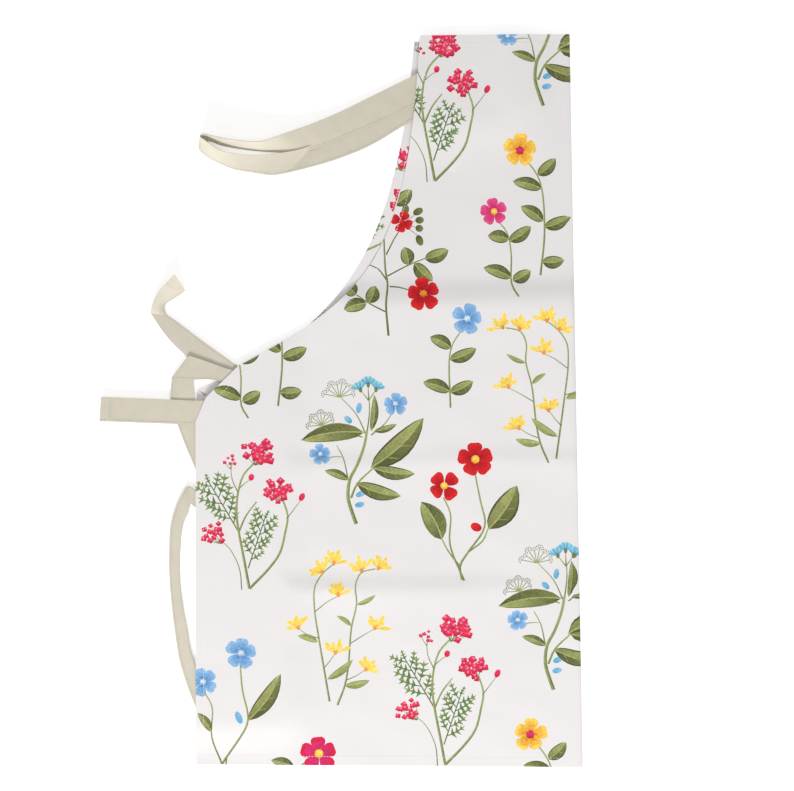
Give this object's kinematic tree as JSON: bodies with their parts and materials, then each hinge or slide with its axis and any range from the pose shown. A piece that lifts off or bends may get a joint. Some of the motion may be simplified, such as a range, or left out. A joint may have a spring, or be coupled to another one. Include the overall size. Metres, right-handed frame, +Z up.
{
  "type": "bib apron",
  "caption": "Bib apron of flower-printed cotton, lying folded in half along its centre line, with a plain tape neck strap and waist ties; the upper half opens out flat.",
  "frame": {"origin": "centre of the folded apron's footprint, on the table that it lies on", "axes": "+Y along the centre fold towards the bib, +X towards the fold, +Z up from the table"},
  "size_m": [0.4963, 0.763, 0.026],
  "materials": {
    "printed_cotton": "matt plain weave with a printed meadow of flowers",
    "hem_cotton": "matt plain weave, turned to the inside",
    "tape": "matt unbleached cotton, stitched along the edges",
    "thread": "matt sewing thread"
  },
  "bodies": {
    "back_half": {"back_panel": "printed_cotton", "back_bib_hem": "hem_cotton", "back_armhole_hem": "hem_cotton", "back_side_hem": "hem_cotton", "back_bottom_hem": "hem_cotton", "back_strap_end": "tape", "back_strap_tack": "thread", "back_waist_tie": "tape", "back_tie_end_hem": "tape", "back_tie_tack": "thread", "centre_fold": "printed_cotton"},
    "front_half": {"front_panel": "printed_cotton", "front_bib_hem": "hem_cotton", "front_armhole_hem": "hem_cotton", "front_side_hem": "hem_cotton", "front_bottom_hem": "hem_cotton", "front_strap_end": "tape", "front_strap_tack": "thread", "front_waist_tie": "tape", "front_tie_end_hem": "tape", "front_tie_tack": "thread"},
    "strap_lower": {"neck_strap_lower_run": "tape", "neck_strap_turn": "tape"},
    "strap_upper": {"neck_strap_upper_run": "tape", "neck_strap_front_bend": "tape"}
  },
  "joints": [
    {"name": "unfold", "type": "hinge", "parent": "back_half", "child": "front_half", "pos_m": [0.245, 0, 0.00315], "axis": [0, 1, 0], "range_deg": [0, 180], "deforming": ["centre_fold"]},
    {"name": "strap_swing", "type": "hinge", "parent": "back_half", "child": "strap_lower", "pos_m": [0.111, 0.3225, 0.0026], "axis": [0, 0, 1], "range_deg": [-131.4, 0]},
    {"name": "strap_open", "type": "hinge", "parent": "strap_lower", "child": "strap_upper", "pos_m": [-0.129, 0.2685, 0.00315], "axis": [0, 0, 1], "range_deg": [0, 62], "deforming": ["neck_strap_front_bend"]}
  ],
  "couplings": [
    {"joint": "strap_swing", "follows": "unfold", "ratio": -0.7295},
    {"joint": "strap_open", "follows": "unfold", "ratio": 0.3442}
  ]
}
